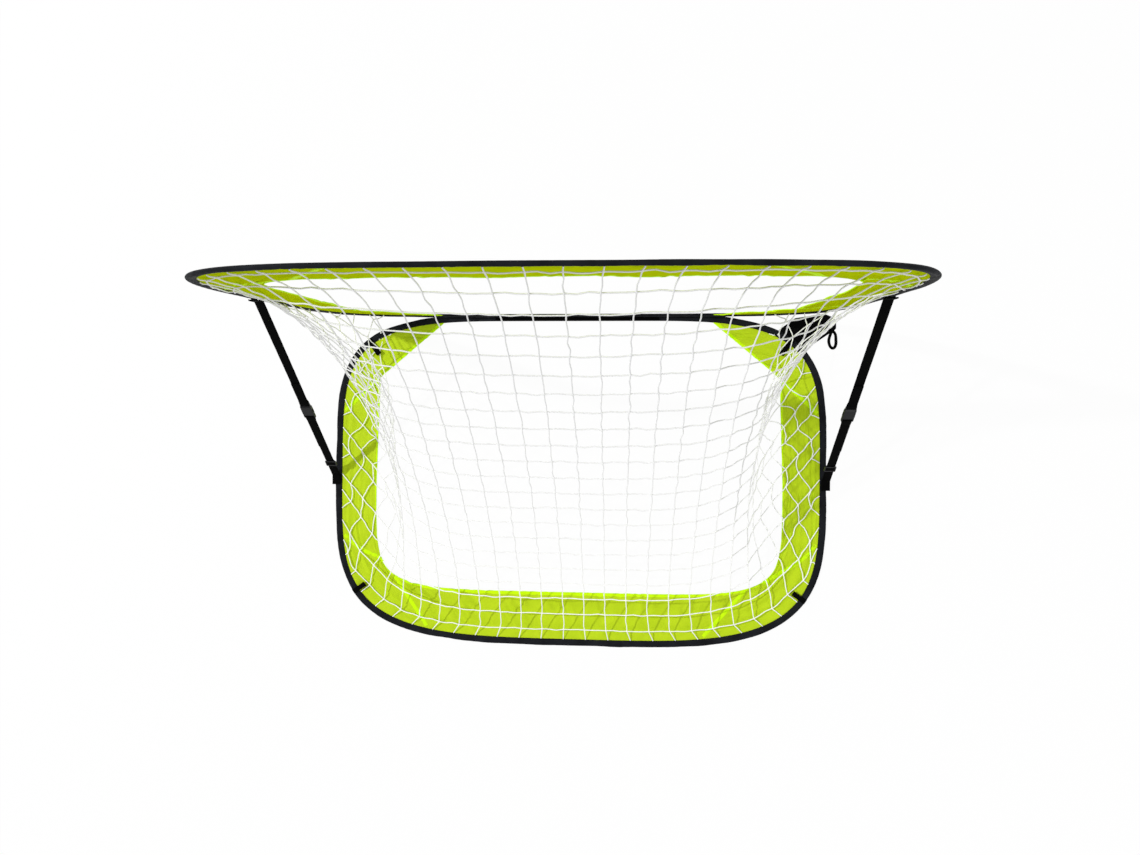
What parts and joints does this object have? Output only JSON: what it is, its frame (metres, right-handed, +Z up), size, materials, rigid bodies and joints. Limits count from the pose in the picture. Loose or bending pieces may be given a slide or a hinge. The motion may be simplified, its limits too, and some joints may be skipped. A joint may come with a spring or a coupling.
{
  "type": "pop-up soccer goal",
  "caption": "Folding pop-up goal of two sprung textile hoops joined by a ground hinge, held open by buckled straps, with a square-mesh net.",
  "frame": {"origin": "middle of the footprint on the ground, with every joint at 0", "axes": "+Z up, -Y out of the mouth, +X to the left of someone who stands behind the goal and looks at the mouth"},
  "size_m": [1.2346, 0.81, 0.8173],
  "materials": {
    "sleeve_cloth": "matt woven cloth",
    "lime_cloth": "semi-matt woven cloth",
    "webbing": "matt woven tape",
    "black_plastic": "semi-matt moulded",
    "spring_steel": "drawn wire",
    "net_cord": "matt twisted cord"
  },
  "bodies": {
    "base": {"base_wire": "spring_steel", "base_ferrule": "spring_steel", "base_sleeve": "sleeve_cloth", "base_back_band": "lime_cloth", "base_side_band_left": "lime_cloth", "base_side_band_right": "lime_cloth", "base_corner_gusset_left": "lime_cloth", "base_corner_gusset_right": "lime_cloth", "hinge_tape": "webbing", "net": "net_cord", "base_strap_tab_left": "webbing", "base_strap_tab_right": "webbing", "peg_loop_front_left": "webbing", "peg_loop_front_right": "webbing", "peg_loop_back_left": "webbing", "peg_loop_back_right": "webbing", "peg_pouch": "webbing", "pouch_flap": "webbing", "pouch_pull_loop": "webbing"},
    "face": {"face_wire": "spring_steel", "face_ferrule": "spring_steel", "face_sleeve": "sleeve_cloth", "face_top_band": "lime_cloth", "face_side_band_left": "lime_cloth", "face_side_band_right": "lime_cloth", "face_corner_gusset_left": "lime_cloth", "face_corner_gusset_right": "lime_cloth", "face_strap_tab_left": "webbing", "face_strap_tab_right": "webbing"},
    "strap_lower_left": {"strap_lower_left": "webbing", "buckle_tongue_left": "black_plastic"},
    "strap_slider_left": {"strap_slider_left": "black_plastic"},
    "buckle_socket_left": {"buckle_socket_left": "black_plastic"},
    "strap_upper_left": {"strap_upper_left": "webbing"},
    "strap_lower_right": {"strap_lower_right": "webbing", "buckle_tongue_right": "black_plastic"},
    "strap_slider_right": {"strap_slider_right": "black_plastic"},
    "buckle_socket_right": {"buckle_socket_right": "black_plastic"},
    "strap_upper_right": {"strap_upper_right": "webbing"}
  },
  "joints": [
    {"name": "face_fold", "type": "hinge", "parent": "base", "child": "face", "pos_m": [0, -0.3961, 0.0089], "axis": [-1, 0, 0], "range_deg": [0, 79], "stiffness_Nm_per_rad": 4, "springref_deg": -8.59, "deforming": ["net", "hinge_tape", "strap_lower_left", "strap_upper_left", "strap_lower_right", "strap_upper_right"]},
    {"name": "strap_lower_swing_left", "type": "hinge", "parent": "base", "child": "strap_lower_left", "pos_m": [0.597, -0.005, 0.0105], "axis": [1, 0, 0], "range_deg": [0, 46.71], "deforming": ["strap_lower_left", "strap_upper_left"]},
    {"name": "strap_upper_swing_left", "type": "hinge", "parent": "face", "child": "strap_upper_left", "pos_m": [0.597, -0.3666, 0.40781], "axis": [-1, 0, 0], "range_deg": [0, 45.82], "deforming": ["strap_upper_left"]},
    {"name": "slider_adjust_left", "type": "slide", "parent": "strap_lower_left", "child": "strap_slider_left", "axis": [0, -0.6731, 0.7396], "range_m": [0, 0.05], "deforming": ["strap_lower_left"]},
    {"name": "buckle_release_left", "type": "slide", "parent": "strap_lower_left", "child": "buckle_socket_left", "axis": [0, -0.6731, 0.7396], "range_m": [0, 0.03], "deforming": ["strap_upper_left"]},
    {"name": "strap_lower_swing_right", "type": "hinge", "parent": "base", "child": "strap_lower_right", "pos_m": [-0.597, -0.005, 0.0105], "axis": [1, 0, 0], "range_deg": [0, 46.71], "deforming": ["strap_lower_right", "strap_upper_right"]},
    {"name": "strap_upper_swing_right", "type": "hinge", "parent": "face", "child": "strap_upper_right", "pos_m": [-0.597, -0.3666, 0.40781], "axis": [-1, 0, 0], "range_deg": [0, 45.82], "deforming": ["strap_upper_right"]},
    {"name": "slider_adjust_right", "type": "slide", "parent": "strap_lower_right", "child": "strap_slider_right", "axis": [0, -0.6731, 0.7396], "range_m": [0, 0.05], "deforming": ["strap_lower_right"]},
    {"name": "buckle_release_right", "type": "slide", "parent": "strap_lower_right", "child": "buckle_socket_right", "axis": [0, -0.6731, 0.7396], "range_m": [0, 0.03], "deforming": ["strap_upper_right"]}
  ],
  "couplings": [
    {"joint": "strap_lower_swing_left", "follows": "face_fold", "ratio": 0.5911},
    {"joint": "strap_upper_swing_left", "follows": "face_fold", "ratio": 0.5798},
    {"joint": "strap_lower_swing_right", "follows": "face_fold", "ratio": 0.5911},
    {"joint": "strap_upper_swing_right", "follows": "face_fold", "ratio": 0.5798}
  ]
}
